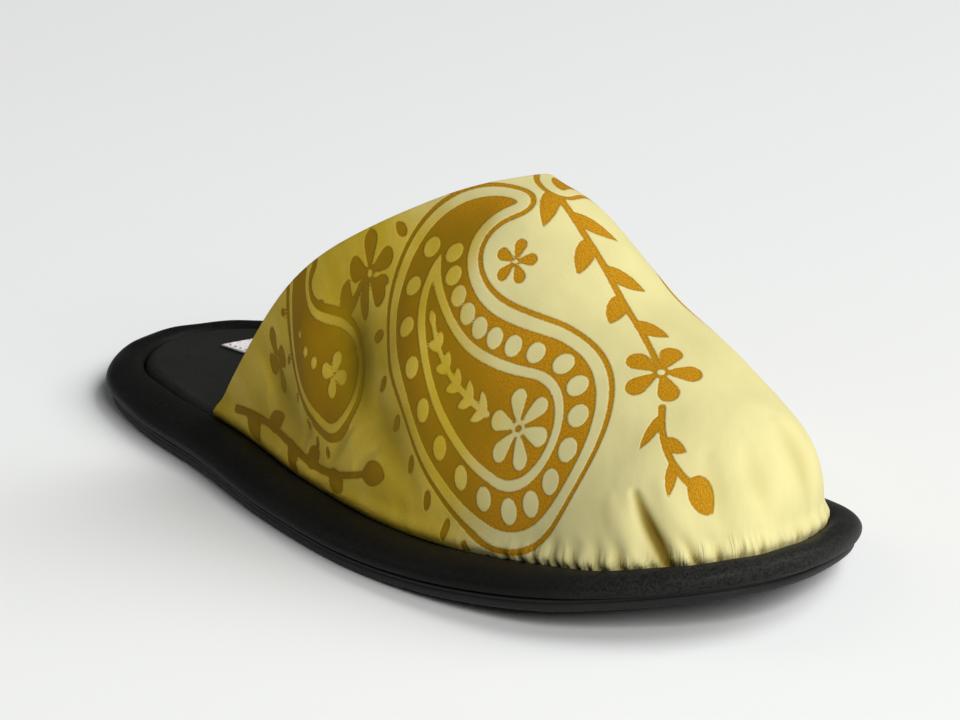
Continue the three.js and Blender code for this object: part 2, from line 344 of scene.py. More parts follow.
# Gathers at the feather seam round the toe: the bearing in degrees from straight ahead, + to the
# lateral side, where one leaves the seam, its lean in degrees for each millimetre of height, its
# reach, its width and its depth.
GATHERS = [
    (78, 0.2, 6, 1.3, 0.5), (70, 0.2, 7, 1.3, 0.6), (63, 0.3, 8, 1.3, 0.8),
    (57.5, -0.2, 7, 1.1, 0.7), (53, 0.4, 10, 1.25, 1), (49, 0.0, 6, 1, 0.8),
    (45.5, 0.3, 9, 1.2, 1), (41.5, -0.1, 6, 1, 0.8), (38, 0.3, 11, 1.25, 1.1),
    (32, 0.3, 12, 1.3, 1.1), (28, 0.0, 6, 1, 0.9), (24, 0.5, 9, 1.2, 1),
    (13.5, 0.5, 11, 1.15, 1.5), (8.5, 0.2, 8, 1.1, 1.2), (3.5, 0.0, 6, 1, 0.8),
    (-2, 0.2, 8, 1.2, 0.7), (-8, -0.1, 7, 1.4, 0.45), (-15, 0.1, 10, 1.5, 0.6),
    (-22, -0.3, 8, 1.5, 0.45), (-29, -0.2, 12, 1.7, 0.65), (-36, 0.1, 8, 1.5, 0.45),
    (-44, -0.3, 11, 1.7, 0.65), (-52, -0.1, 8, 1.5, 0.45), (-61, -0.2, 9, 1.6, 0.5),
    (-72, -0.2, 7, 1.6, 0.4),
]

# Ridges beside each gather: how far off in its widths, and how high against its depth. Then how
# much of the table's reach and width is the spread of a gather, and how much shadow is painted in
# it for its depth.
GATHER_RIDGES = [(1.8, 0.42), (-2.2, 0.26)]
GATHER_SCALE = 0.62
GATHER_SHADOW = 0.42

# Longer folds from one place to another, with a width and a depth: soft troughs, or ridges where
# the depth is below zero.
FOLDS = [
    ((262.6, -16.4, 11.5), (251.5, -20.5, 30), 1.6, 2.5),
    ((262.8, -12.5, 16), (254, -15, 31), 3.2, -1.0),
    ((257.5, -23, 16), (248, -25, 28), 3.0, -0.9),
    ((263.5, -5, 20), (254.5, -3, 36), 3.2, 0.7),
    ((264, 5, 24), (257, 6, 36), 3.5, 0.6),
    ((259, 20, 20), (247, 17, 37), 3.6, 0.8),
    ((243, 35, 17), (232, 33, 38), 4.5, 0.9),
    ((138, -32, 52), (148, -34, 42), 9, 1.8),
    ((143, -31, 51), (163, -38, 28), 10, 3.0),
    ((164, -37, 36), (186, -43, 20), 7.0, 1.6),
    ((166, -25, 52), (194, -39, 27), 7.5, -1.1),
    ((128, -37, 44), (141, -43, 24), 7.0, -1.3),
    ((108, -40, 34), (132, -45, 18), 6.5, 1.4),
    ((150, -47, 17), (157, -45, 27), 2.6, 1.0),
    ((162, -49, 16), (170, -46, 25), 2.4, 0.9),
    ((134, -46, 17), (139, -45, 24), 2.4, 0.8),
    ((188, 44, 22), (160, 37, 46), 8.0, 1.1),
    ((206, 8, 64), (232, 22, 50), 9.0, 0.5),
]

# A fold up to this width and as deep as this is painted wholly in shadow, and it bends only what
# lies so near to it, seen from inside. Folds and gathers die away towards the collar, and swells
# towards the hem, over the next two.
NARROW_FOLD = 6.0
DARK_FOLD_DEPTH = 2.6
FOLD_REACH = 9.0
COLLAR_HOLD = 14.0
HEM_FADE = 12.0
HEM = {"puff": 1.3, "scallop": 0.2, "height": 2.2}
INNER_LINE = {"end": 226.0, "height": 14.0}


def seam_places(points):
    """Radius and bearing about the toe's centre, and height over the feather seam."""
    ahead, across = points[..., 0] - TOE_CENTRE[0], points[..., 1] - TOE_CENTRE[1]
    radius = np.maximum(np.hypot(ahead, across), LEAST_RADIUS)
    bearing = np.degrees(np.arctan2(-across, ahead))
    height = np.maximum(0, points[..., 2] - FEATHER - lift(points[..., 0], points[..., 1]))
    return radius, bearing, height


def gather_relief(points):
    """Depth of the small gathers that the toe's fullness makes along the feather seam."""
    radius, bearing, height = seam_places(points)
    relief = np.zeros_like(height)
    for start, lean, reach, width, depth in GATHERS:
        share = height / (GATHER_SCALE * reach)
        away = radius * np.radians(bearing - start - lean * height)
        away = away / (GATHER_SCALE * width * (1 + 0.9 * share))
        trough = np.exp(-(away**2))
        for off, ridge in GATHER_RIDGES:
            trough = trough - ridge * np.exp(-((away - off) ** 2))
        relief -= depth * trough * np.exp(-(share**2) * 1.6)
    return relief


def fold_relief(points, ways):
    """Depth of the longer folds and the soft dents, and how much shadow is painted at each place in
    them.
    """
    relief, shadow = np.zeros((2, *points.shape[:-1]))
    for start, end, width, depth in FOLDS:
        axis = np.subtract(end, start)
        share = np.clip(((points - start) @ axis) / (axis @ axis), 0, 1)
        gap = points - start - share[..., None] * axis
        over = (gap * ways).sum(-1)
        away = np.linalg.norm(gap - over[..., None] * ways, axis=-1)
        fade = 0.35 + 0.65 * np.sin(math.pi * np.clip(0.12 + 0.85 * share, 0, 1))
        spread = width * (0.6 + 0.4 * np.sin(math.pi * share))
        hollow = depth * fade * np.exp(-((away / spread) ** 2)) * (np.abs(over) < FOLD_REACH)
        relief -= hollow
        shadow = np.maximum(shadow, min(1, NARROW_FOLD / width) * hollow / DARK_FOLD_DEPTH)
    return relief, shadow


def pad_relief(points):
    """Slow swells of the wadding and the roll of the cloth over the feather seam."""
    x, y, z = np.moveaxis(points, -1, 0)
    swell = 0.35 * np.sin(x / 17 + 0.8) * np.sin(y / 13 + z / 19 + 0.4)
    swell = swell + 0.2 * np.sin(x / 8.3 - z / 11 + 2.1) * np.sin(y / 9.1 + 1.3)
    radius, bearing, height = seam_places(points)
    around = radius * np.radians(bearing)
    scallops = np.sin(2.9 * around + 2.3 * np.sin(0.23 * around) + 1.2 * np.sin(0.71 * around))
    scallops = scallops * (0.6 + 0.4 * np.sin(0.37 * around + 1.0))
    hem = HEM["puff"] + HEM["scallop"] * scallops
    hem = hem * np.exp(-((height / HEM["height"] - 1) ** 2))
    return swell * smoothstep(height, 0, HEM_FADE) + hem


def outwards(points, form):
    """Directions away from a line that runs inside the slipper, under its crown."""
    x = np.minimum(points[..., 0], INNER_LINE["end"])
    inner = np.stack([x, form.ridge(x), np.full_like(x, INNER_LINE["height"])], -1)
    away = points - inner
    away[..., 2] = np.maximum(away[..., 2], 0)
    return away / np.linalg.norm(away, axis=-1, keepdims=True)


# How much shade is painted down each side of the upper, over what range of its turn a place comes
# to lie on a side, and where along the slipper the painted shade gives way to the toe.
LATERAL_PAINTED_SHADE = 0.75
MEDIAL_PAINTED_SHADE = 0.6
SIDEWAYS = (0.08, 0.58)
SIDE_SHADE_FADES = (196.0, 226.0)


def side_shade_share(points):
    """How much shade is painted on each place of the upper, by how far it faces sideways: none on
    the crown and the toe, most down the lateral side.
    """
    normals = np.cross(np.gradient(points, axis=0), np.gradient(points, axis=1))
    normals /= np.maximum(np.linalg.norm(normals, axis=-1, keepdims=True), 1e-9)
    sideways = smoothstep(np.abs(normals[..., 1]) - 1.2 * np.abs(normals[..., 0]), *SIDEWAYS)
    sideways = sideways * (1 - smoothstep(points[..., 0], *SIDE_SHADE_FADES))
    return sideways * np.where(points[..., 1] > 0, MEDIAL_PAINTED_SHADE, LATERAL_PAINTED_SHADE)


# ---- The brocade's figures, in millimetres on the flat cloth ----

FAR = 4.0
UNPAINTED = -1.0

# A beaded drop's heart against the drop's own width and length, the stretch of the drop that has
# beads down its sides, and the beads' radius and pitch against half of the room for them.
HEART_WIDTH = 0.62
HEART_LENGTH = 0.72
FIRST_BEAD = 0.06
LAST_BEAD = 0.8
LEAST_ROOM = 1.25
BEAD = 0.62
HEAD_BEAD = 0.66
BEAD_PITCH = 2.0
LAST_LEAF = 0.97


class Stroke:
    """A bent stroke on the cloth: a line of points with a half width at each of them."""

    def __init__(self, start, heading, length, bend, widths, steps, curl=0.0):
        share = np.linspace(0, 1, steps)
        turned = math.radians(bend) * share ** (1 + curl)
        angle = math.radians(heading) + turned
        step = length / (steps - 1)
        way = np.stack([np.cos(angle), np.sin(angle)], -1)
        run = np.concatenate([[(0, 0)], np.cumsum((way[1:] + way[:-1]) / 2 * step, axis=0)])
        self.points = np.array(start, float) + run
        self.headings = np.degrees(angle)
        self.widths = widths(share) if callable(widths) else np.full(steps, float(widths))

    def at(self, share):
        """The point and heading at a share of the length."""
        place = share * (len(self.points) - 1)
        i = min(int(place), len(self.points) - 2)
        t = place - i
        point = self.points[i] * (1 - t) + self.points[i + 1] * t
        return point, self.headings[i] * (1 - t) + self.headings[i + 1] * t


class Cloth:
    """The figured cloth: a field of signed distances, below zero inside an amber figure."""

    def __init__(self, places):
        self.places = places
        self.field = np.full(len(places), FAR)

    def paint(self, stroke, dark=True, grow=0.0):
        """Paints a stroke in amber, or in the pale ground, over what is there."""
        reach = stroke.widths.max() + abs(grow) + FAR
        low, high = stroke.points.min(0) - reach, stroke.points.max(0) + reach
        near = np.flatnonzero(np.all((self.places > low) & (self.places < high), axis=1))
        if not len(near):
            return
        away = self.places[near][:, None] - stroke.points[None]
        distance = (np.linalg.norm(away, axis=-1) - stroke.widths).min(1) - grow
        if dark:
            self.field[near] = np.minimum(self.field[near], distance)
        else:
            self.field[near] = np.maximum(self.field[near], -distance)

    def dot(self, place, radius, dark=True):
        """Paints a round dot."""
        self.paint(Stroke(place, 0, 0.01, 0, radius, 2), dark)


def leaf_width(width):
    """Half widths of a pointed leaf."""
    return lambda share: width * np.sin(math.pi * share**0.8) ** 0.9


def drop_width(radius, power):
    """Half widths of a drop that starts round and ends in a point."""
    return lambda share: radius * (1 - share) ** power


def taper(start, end):
    """Half widths that run evenly from one to another."""
    return lambda share: start + (end - start) * share


def moved(place, heading, ahead, aside=0.0):
    """A place so far ahead and to the left of another one."""
    angle = math.radians(heading)
    way = np.array([math.cos(angle), math.sin(angle)])
    return np.asarray(place, float) + ahead * way + aside * np.array([-way[1], way[0]])


def blossom(cloth, place, heading, size, petals=5, dark=True):
    """A small open flower with rounded petals and a dot at its heart."""
    for k in range(petals):
        turn = heading + 360 * k / petals
        width = size * (1.15 / petals + 0.05)
        petal = Stroke(moved(place, turn, size - width), turn + 180, 0.62 * size, 0,
                       drop_width(width, 0.7), 14)
        cloth.paint(petal, dark)
    cloth.dot(place, 0.2 * size, dark)
    cloth.dot(place, 0.1 * size, not dark)


def leaves_along(cloth, stem, first, places, length, width, dark, both=True, lean=30):
    """Pointed leaves on the two sides of a stem, or on one after the other."""
    for k in range(places):
        point, way = stem.at(first + (LAST_LEAF - first) * k / places)
        size = length * (1 - 0.4 * k / places)
        for side in (-1, 1) if both else (1 - 2 * (k % 2),):
            bend = side * 0.6 * lean
            cloth.paint(Stroke(point, way + side * lean, size, bend, leaf_width(width), 32), dark)


def beads(cloth, place, heading, body, outer_width, inner_width, turn):
    """Pale dots that fill the space between two drops, from the tail round the head."""
    length = len(body.points) * np.linalg.norm(body.points[1] - body.points[0])
    for side in (-turn, turn):
        share = FIRST_BEAD
        while share < LAST_BEAD:
            room = (outer_width(share) - inner_width(share)) / 2
            if room < LEAST_ROOM:
                break
            point, way = body.at(share)
            middle = moved(point, way, 0, side * (inner_width(share) + room))
            cloth.dot(middle, BEAD * room, False)
            share += BEAD_PITCH * room / length
    room = (outer_width(0) - inner_width(0)) / 2
    radius = inner_width(0) + room
    count = round(math.pi * radius / (BEAD_PITCH * room))
    for k in range(count):
        bearing = heading + 90 + 180 * (k + 0.5) / count
        cloth.dot(moved(place, bearing, radius), HEAD_BEAD * room, False)


def paisley(cloth, place, heading, size, turn, beaded):
    """A curled drop in bands: a fringe, a pale band, beads, a pale ring and a leafy heart."""
    band = 0.03 * size + 0.9
    outline_width, fringe, petals = (1.4, 11, 6) if beaded else (2.0, 7, 4)
    leaf = (0.085 if beaded else 0.1) * size
    outer_width = drop_width(0.3 * size, 0.75)

    def inner_width(share):
        return HEART_WIDTH * outer_width(0) * np.maximum(0, 1 - share / HEART_LENGTH) ** 0.8

    curl = {"length": 1.12 * size, "bend": turn * 165, "curl": 0.9}
    body = Stroke(place, heading, widths=outer_width, steps=80, **curl)
    cloth.paint(body, True, band + outline_width)
    cloth.paint(body, False, band)
    cloth.paint(body, True)
    if beaded:
        heart = Stroke(place, heading, widths=inner_width, steps=120, **curl)
        heart.widths[heart.widths == 0] = UNPAINTED
        beads(cloth, place, heading, body, outer_width, inner_width, turn)
        cloth.paint(heart, False, 0.1)
        cloth.paint(heart, True, -0.03 * size)
    blossom(cloth, moved(place, heading, -0.015 * size), heading, 1.5 * leaf, petals, False)
    start = moved(place, heading, 1.65 * leaf)
    branch = Stroke(start, heading + turn * 4, 0.44 * size, turn * 48, taper(0.75, 0.65), 100, 0.9)
    if beaded:
        half = 0.048 * size**0.75
        cloth.paint(branch, False)
        leaves_along(cloth, branch, 0.02, 5, 0.9 * leaf, half, False)
        point, way = branch.at(0.96)
        cloth.paint(Stroke(point, way, 0.7 * leaf, 0, leaf_width(0.8 * half), 28), False)
    else:
        for share in (0.2, 0.55, 0.9):
            cloth.dot(branch.at(share)[0], 1.5 - 0.6 * share, False)
    for k in range(fringe):
        share = 0.03 + 0.86 / fringe * k
        point, way = body.at(share)
        base = moved(point, way, 0, -turn * (outer_width(share) + band + 3.4))
        cloth.paint(Stroke(base, way - turn * 78, 0.06 * size + 0.8, 0,
                           leaf_width(0.012 * size + 0.6), 10))


def vine(cloth, place, heading, length, bend, leaves, lean, end):
    """A long stem with leaves on one side after the other, and a flower or a bud at its end."""
    stem = Stroke(place, heading, length, bend, taper(1.0, 0.8), 240, 0.4)
    cloth.paint(stem)
    leaf = min(13.0, 0.4 * length)
    leaves_along(cloth, stem, 0.08, leaves, leaf, 0.18 * leaf, True, False, lean)
    point, way = stem.at(1.0)
    if end == "flower":
        cloth.paint(Stroke(point, way, 6.5, 0, 0.8, 18))
        blossom(cloth, moved(point, way, 8.0), way, 9.5)
    else:
        cloth.paint(Stroke(point, way, 10.0, 20, leaf_width(3.0), 18))


# Each row starts with a place on the cloth: along, from the collar's peak towards the toe, and
# aside, from the crown towards the lateral side. The rest is what the figure's function takes.
PAISLEYS = [
    (54, 42, 166, 74, 1, True),
    (46, -36, 190, 62, -1, True),
    (-22, 69.5, 158, 35, 1, False),
    (-22, -56, 205, 36, -1, False),
]
VINES = [
    (-80, 112, -17, 88, -8, 5, 17, "bud"),
    (-47, 78, -40, 38, -20, 4, 20, "flower"),
    (6, -2, 2, 60, 16, 6, 30, "flower"),
    (82, 15, 24, 24, -60, 3, 30, "bud"),
    (-46, -86, 10, 100, 22, 8, 26, "bud"),
]
SPRIGS = [
    (23, 17, 20, 5.8, 5), (80, -24, 80, 6.5, 5), (-56, 88, 50, 7, 4),
]


def figured_cloth(places):
    """Signed distances to the amber figures at places on the flat cloth."""
    cloth = Cloth(places)
    for draw, rows in ((vine, VINES), (paisley, PAISLEYS), (blossom, SPRIGS)):
        for along, aside, *rest in rows:
            draw(cloth, (along, aside), *rest)
    return np.clip(cloth.field, -FAR, FAR)


def cloth_places(form, x, angles):
    """Places on the flat cloth: along the crown from the collar's peak, and round the section."""
    stations = np.linspace(FORM_START, form.tip - SHORT_OF_TIP, GIRTH_STATIONS)
    crown = arc_lengths(form.points(stations, math.pi / 2))
    along = np.interp(x, stations, crown) - np.interp(COLLAR["peak"] * LENGTH, stations, crown)
    fine = np.linspace(0, math.pi, GIRTH_POINTS)
    girths = []
    for station in stations:
        lengths = arc_lengths(form.points(station, fine))
        girths.append(np.interp(angles, fine, lengths[len(fine) // 2] - lengths))
    aside = [np.interp(row, stations, girth) for row, girth in zip(x, np.transpose(girths))]
    return np.stack([along, aside], -1)


# ---- Meshes ----

WELD = 2e-6
NO_LENGTH = 1e-7
DOME_RISES = (15.0, 60.0)


class Skin:
    """Collects grids of points in millimetres and makes them one mesh."""

    def __init__(self):
        self.points, self.faces, self.finishes = [], [], []
        self.fields = {}

    def grid(self, rows, finish=0, **fields):
        """Joins each row of points to the next one; extra fields go with the points."""
        rows = np.asarray(rows, float)
        first = sum(len(part) for part in self.points)
        count, width = rows.shape[:2]
        index = first + np.arange(count * width).reshape(count, width)
        quads = np.stack([index[:-1, :-1], index[:-1, 1:], index[1:, 1:], index[1:, :-1]], -1)
        self.points.append(rows.reshape(-1, 3))
        self.faces.append(quads.reshape(-1, 4))
        self.finishes.append(np.full(len(self.faces[-1]), finish))
        for name, values in fields.items():
            self.fields.setdefault(name, []).append((first, values))
        return self

    def make(self, name, finishes):
        """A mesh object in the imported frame, with its doubled points welded."""
        points = (np.concatenate(self.points) + HEEL_IN_FRAME) * MM
        faces = np.concatenate(self.faces)
        mesh = bpy.data.meshes.new(name)
        mesh.from_pydata(points, [], faces)
        mesh.polygons.foreach_set("material_index", np.concatenate(self.finishes))
        for key, parts in self.fields.items():
            size = parts[0][1].shape[-1] if parts[0][1].ndim == 3 else 1
            kind, slot = ("FLOAT_VECTOR", "vector") if size == 3 else ("FLOAT", "value")
            layer = mesh.attributes.new(key, kind, "POINT")
            values = np.full((len(points), size), FAR if key == "figure" else 0.0, np.float32)
            for first, part in parts:
                flat = part.reshape(-1, size)
                values[first : first + len(flat)] = flat
            layer.data.foreach_set(slot, values.ravel())
        shell = bmesh.new()
        shell.from_mesh(mesh)
        bmesh.ops.remove_doubles(shell, verts=shell.verts, dist=WELD)
        bmesh.ops.dissolve_degenerate(shell, edges=shell.edges, dist=NO_LENGTH)
        bmesh.ops.recalc_face_normals(shell, faces=shell.faces)
        shell.to_mesh(mesh)
        shell.free()
        mesh.polygons.foreach_set("use_smooth", np.ones(len(mesh.polygons), bool))
        for finish in finishes:
            mesh.materials.append(finish)
        piece = bpy.data.objects.new(name, mesh)
        bpy.context.scene.collection.objects.link(piece)
        return piece


def closed(loops):
    """Loops of points, each with its first point again at its end."""
    loops = np.asarray(loops)
    return np.concatenate([loops, loops[:, :1]], axis=1)


def spindle(line, way, radius):
    """Rings round a level line that come to a point at both of its ends."""
    turns = np.linspace(0, 2 * math.pi, 9)
    aside, up = np.array([-way[1], way[0], 0]), np.array([0, 0, 1])
    round_it = aside * np.cos(turns)[:, None] + up * np.sin(turns)[:, None]
    swell = np.sin(math.pi * np.linspace(0, 1, len(line))) ** 0.5
    return line[:, None] + radius * swell[:, None, None] * round_it[None]


def dome(x, across, height):
    """Crown of the padded footbed: full along the middle, none at its edge and its ends."""
    ends = smoothstep(np.minimum(x, LENGTH - x), *DOME_RISES)
    return height * ends * (4 * across * (1 - across)) ** 2


def heel_puff(x):
    """Swell of the footbed where nothing presses on it, behind the collar."""
    return HEEL_PUFF * (1 - smoothstep(x / LENGTH, *PUFF_ENDS))


def cap(loop, columns, relief=None):
    """Rows across the sole from the lateral to the medial half of a loop."""
    half = len(loop) // 2
    lateral = loop[: half + 1]
    medial = np.concatenate([loop[:1], loop[: half - 1 : -1]])
    share = (1 - np.cos(np.linspace(0, math.pi, columns + 1))) / 2
    share = share[None, :, None]
    rows = lateral[:, None] * (1 - share) + medial[:, None] * share
    height = loop[0, 2] - lift(loop[0, 0], loop[0, 1])
    inner = rows[1:-1, 1:-1]
    inner[..., 2] = height + lift(inner[..., 0], inner[..., 1])
    if relief:
        inner[..., 2] += relief(inner[..., 0], inner[..., 1], share[:, 1:-1, 0])
    return rows


def hang(piece, node):
    """Hangs a piece in the frame in place of a node."""
    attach(piece, "root")
    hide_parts(node)


def hang_padded(piece, node):
    """Hangs a padded piece in the frame in place of a node."""
    hang(piece, node)


# ---- Finishes ----


class Socket:
    """An output of a shader node. Sums on it add Math nodes to its tree."""

    def __init__(self, finish, link):
        self.finish, self.link = finish, link

    def __add__(self, other):
        return self.finish.maths("ADD", self, other)

    def __radd__(self, other):
        return self.finish.maths("ADD", other, self)

    def __sub__(self, other):
        return self.finish.maths("SUBTRACT", self, other)

    def __rsub__(self, other):
        return self.finish.maths("SUBTRACT", other, self)

    def __mul__(self, other):
        return self.finish.maths("MULTIPLY", self, other)

    def __rmul__(self, other):
        return self.finish.maths("MULTIPLY", other, self)


class Finish:
    """A material and the nodes of its surface."""

    def __init__(self, name, specular):
        self.material = bpy.data.materials.new(name)
        self.material.use_nodes = True
        self.tree = self.material.node_tree
        self.shader = self.tree.nodes["Principled BSDF"]
        self.shader.inputs["Specular IOR Level"].default_value = specular

    def node(self, kind, settings=None, inputs=None, output=0):
        """Adds a node: its settings first, then the values and links of its sockets."""
        node = self.tree.nodes.new(kind)
        for key, value in (settings or {}).items():
            setattr(node, key, value)
        for key, value in (inputs or {}).items():
            self.feed(node.inputs[key], value)
        return Socket(self, node.outputs[output])

    def feed(self, socket, value):
        """Links a socket, or sets its value."""
        if isinstance(value, Socket):
            self.tree.links.new(value.link, socket)
        else:
            socket.default_value = value

    def maths(self, operation, *values):
        """One Math node."""
        return self.node("ShaderNodeMath", {"operation": operation}, dict(enumerate(values)))

    def step(self, value, low, high):
        """0 below low, 1 above high and a smooth rise between them."""
        return self.node("ShaderNodeMapRange", {"interpolation_type": "SMOOTHSTEP"},
                         {"Value": value, "From Min": low, "From Max": high})

    def mix(self, share, low, high):
        """A colour between two others."""
        return self.node("ShaderNodeMix", {"data_type": "RGBA"}, {0: share, 6: low, 7: high}, 2)

    def field(self, name, output="Fac"):
        """A field of the mesh: one number, or a vector."""
        return self.node("ShaderNodeAttribute", {"attribute_name": name}, output=output)

    def position(self):
        """The place on the piece, in metres."""
        return self.node("ShaderNodeTexCoord", output="Object")

    def parts(self, vector):
        """The three numbers of a vector."""
        node = self.node("ShaderNodeSeparateXYZ", inputs={0: vector}).link.node
        return [Socket(self, output) for output in node.outputs]

    def noise(self, vector, scale, detail, roughness=0.5):
        """Cloudy noise from 0 to 1, with one scale or with a scale for each of its three ways."""
        if isinstance(scale, tuple):
            stretch = {0: vector, 1: scale}
            vector = self.node("ShaderNodeVectorMath", {"operation": "MULTIPLY"}, stretch)
            scale = 1.0
        inputs = {"Vector": vector, "Scale": scale, "Detail": detail, "Roughness": roughness}
        return self.node("ShaderNodeTexNoise", inputs=inputs)

    def relief(self, *layers):
        """A normal from layers: a height, its relief at 1 in millimetres, and a strength."""
        inputs = {}
        for height, distance, strength in layers:
            inputs.update({"Height": height, "Distance": distance * MM, "Strength": strength})
            inputs["Normal"] = self.node("ShaderNodeBump", inputs=inputs)
        return inputs["Normal"]

    def surface(self, **inputs):
        """Feeds the surface; a word's underscores stand for spaces."""
        for key, value in inputs.items():
            self.feed(self.shader.inputs[key.replace("_", " ").title()], value)
        return self.material


# Where painted light brightens the binding towards the tip of the toe, in metres ahead of the
# middle.
TOE_PAINTED_LIGHT_REACH = (0.088, 0.132)


def shade(colour, factor):
    """A colour made lighter or darker."""
    return (*(channel * factor for channel in colour[:3]), 1.0)


def brocade_finish(colours):
    """Two-tone satin brocade with fine threads, and shade painted down its sides."""
    finish = Finish("brocade", 0.05)
    cloth = finish.field("cloth", "Vector")
    figure = finish.field("figure")
    floats = finish.noise(cloth, (0.3, 2.9, 1.0), 2.0, 0.6)
    speckle = finish.noise(cloth, (2.2, 2.2, 1.0), 2.0, 0.7)
    clouds = finish.noise(cloth, (0.05, 0.07, 1.0), 3.0)

    # The tone of each place: ground or figure, pale, or deep where shade is painted down the sides.
    ragged = finish.noise(cloth, (1.3, 1.3, 1.0), 1.0) - 0.5
    amber = 1 - finish.step(figure + ragged * 0.4, -0.2, 0.2)
    drift = finish.step(clouds, 0.3, 0.7)
    # Shade painted down the sides, its edge broken up by the speckle and the clouds.
    side_shade = finish.field("side_shade") + (speckle - 0.5) * 0.7 + (clouds - 0.5) * 0.4
    side_shade = finish.step(side_shade, 0.05, 0.95)
    pale = finish.mix(drift, tuple(colours.ground), shade(colours.ground, 0.93))
    deep = finish.mix(drift, tuple(colours.ground_shade_tone), shade(colours.ground_shade_tone, 0.8))
    ground = finish.mix(side_shade, pale, deep)
    # Thread floats darken the ground a little, in the ground's shade tone.
    ground = finish.mix(floats * 0.18, ground, shade(colours.ground_shade_tone, 0.8))
    grain = finish.step(speckle, 0.32, 0.68)
    bright = finish.mix(grain, shade(colours.figure, 0.72), shade(colours.figure, 1.25))
    figured = finish.mix(side_shade, bright, tuple(colours.figure_shade_tone))
    # The printed figures' outlines are darker.
    rim = finish.step(finish.maths("ABSOLUTE", figure), 0.7, 0.15)
    figured = finish.mix(rim * 0.35, figured, shade(colours.figure_shade_tone, 0.8))
    colour = finish.mix(amber, ground, figured)

    # Small pleats over the feather seam round the toe, and the shadow painted in them and in the
    # creases.
    seam = finish.field("seam", "Vector")
    _, height, toe = finish.parts(seam)
    folds = finish.noise(seam, (0.8, 0.07, 0.0), 2.0, 0.6)
    reach = finish.noise(seam, (0.33, 0.0, 0.0), 1.0) * 7.0
    near = (1 - finish.step(height - reach, -2.5, 2.5)) * toe
    pleats = finish.step(folds, 0.4, 0.6) * near
    shadow = finish.field("crease_shade") + (near - pleats) * 0.16
    # Painted shadow: creases and the gaps between the pleats darken to the shade tones, the narrow
    # ones to a dark core.
    colour = finish.mix(finish.step(shadow, 0.0, 0.8) * 0.85, colour,
                        shade(colours.ground_shade_tone, 0.48))
    colour = finish.mix(finish.step(shadow, 0.35, 0.95) * 0.75, colour,
                        shade(colours.figure_shade_tone, 0.35))

    # Relief: raised ground, threads, pleats and slow wrinkles.
    raised = finish.step(figure, -0.35, 0.35)
    wrinkles = finish.noise(cloth, (0.06, 0.08, 1.0), 2.0, 0.45)
    normal = finish.relief((raised, 0.2, 0.8), (floats, 0.05, 0.6), (pleats, 0.3, 0.8),
                           (wrinkles, 1.2, 0.5))
    return finish.surface(base_color=colour, roughness=0.5 + amber * 0.12 + floats * 0.06,
                          normal=normal)


def woven_finish(name, colour, pitch, gloss, tones=(0.85, 1.5), relief=0.25, toe_painted_light=None):
    """Plain woven cloth: the pitch of its threads in metres, and the relief as a share of it."""
    darker, lighter = (shade(colour, tone) for tone in tones)
    finish = Finish(name, 0.055)
    place = finish.position()
    across = finish.noise(place, (0.25 / pitch, 1.1 / pitch, 1.1 / pitch), 1.0)
    along = finish.noise(place, (1.1 / pitch, 0.25 / pitch, 0.6 / pitch), 1.0)
    threads = across + along
    clouds = finish.noise(place, 38.0, 4.0, 0.6)
    tone = finish.mix(finish.step(clouds, 0.3, 0.75), darker, lighter)
    # Painted light: the cloth turns lighter towards the tip of the toe.
    if toe_painted_light:
        ahead, _, _ = finish.parts(place)
        tone = finish.mix(finish.step(ahead, *TOE_PAINTED_LIGHT_REACH), tone, shade(colour, toe_painted_light))
    tone = finish.mix(finish.step(threads, 0.8, 1.25), tone, shade(lighter, 1.25))
    normal = finish.relief((threads, relief * pitch / MM, 0.8), (clouds, 3.6 * relief, 0.5))
    return finish.surface(base_color=tone, roughness=gloss + clouds * 0.12, normal=normal)


def nap_finish(name, colour):
    """Brushed cloth: short fibres that lie in drifts."""
    finish = Finish(name, 0.1)
    place = finish.position()
    fibres = finish.noise(place, (1300.0, 3100.0, 1300.0), 3.0, 0.7)
    drifts = finish.noise(place, (26.0, 44.0, 30.0), 4.0, 0.6)
    tone = finish.mix(finish.step(drifts, 0.3, 0.7), shade(colour, 0.8), shade(colour, 1.35))
    tone = finish.mix(finish.step(fibres, 0.45, 0.75), tone, shade(colour, 2.2))
    normal = finish.relief((fibres, 0.22, 0.9), (drifts, 1.2, 0.5))
    return finish.surface(base_color=tone, roughness=0.86 + drifts * 0.1, normal=normal)


def rubber_finish(name, colour):
    """Moulded rubber with a fine grain and a little dust."""
    finish = Finish(name, 0.25)
    place = finish.position()
    dust = finish.noise(place, 60.0, 5.0, 0.65)
    tone = finish.mix(finish.step(dust, 0.45, 0.75), tuple(colour), shade(colour, 1.7))
    normal = finish.relief((finish.noise(place, 1500.0, 2.0), 0.12, 0.8))
    return finish.surface(base_color=tone, roughness=0.5 + dust * 0.2, normal=normal)


def paper_finish(name, colour):
    """Matt seamless paper."""
    finish = Finish(name, 0.2)
    clouds = finish.noise(finish.position(), 3.0, 3.0)
    tone = finish.mix(clouds, shade(colour, 0.985), tuple(colour))
    return finish.surface(base_color=tone, roughness=0.75 + clouds * 0.1)


# ---- What a user may change ----


def colour_property(name, description, default):
    """A colour swatch."""
    return bpy.props.FloatVectorProperty(name=name, description=description, subtype="COLOR",
                                         size=4, min=0, max=1, default=(*default, 1.0))


def millimetre_property(name, description, default):
    """A length, shown in the scene's units."""
    return bpy.props.FloatProperty(name=name, description=description, unit="LENGTH",
                                   subtype="DISTANCE", default=default * MM)


def angle_property(name, description, degrees):
    """An angle, given in degrees."""
    return bpy.props.FloatProperty(name=name, description=description, subtype="ANGLE",
                                   default=math.radians(degrees))


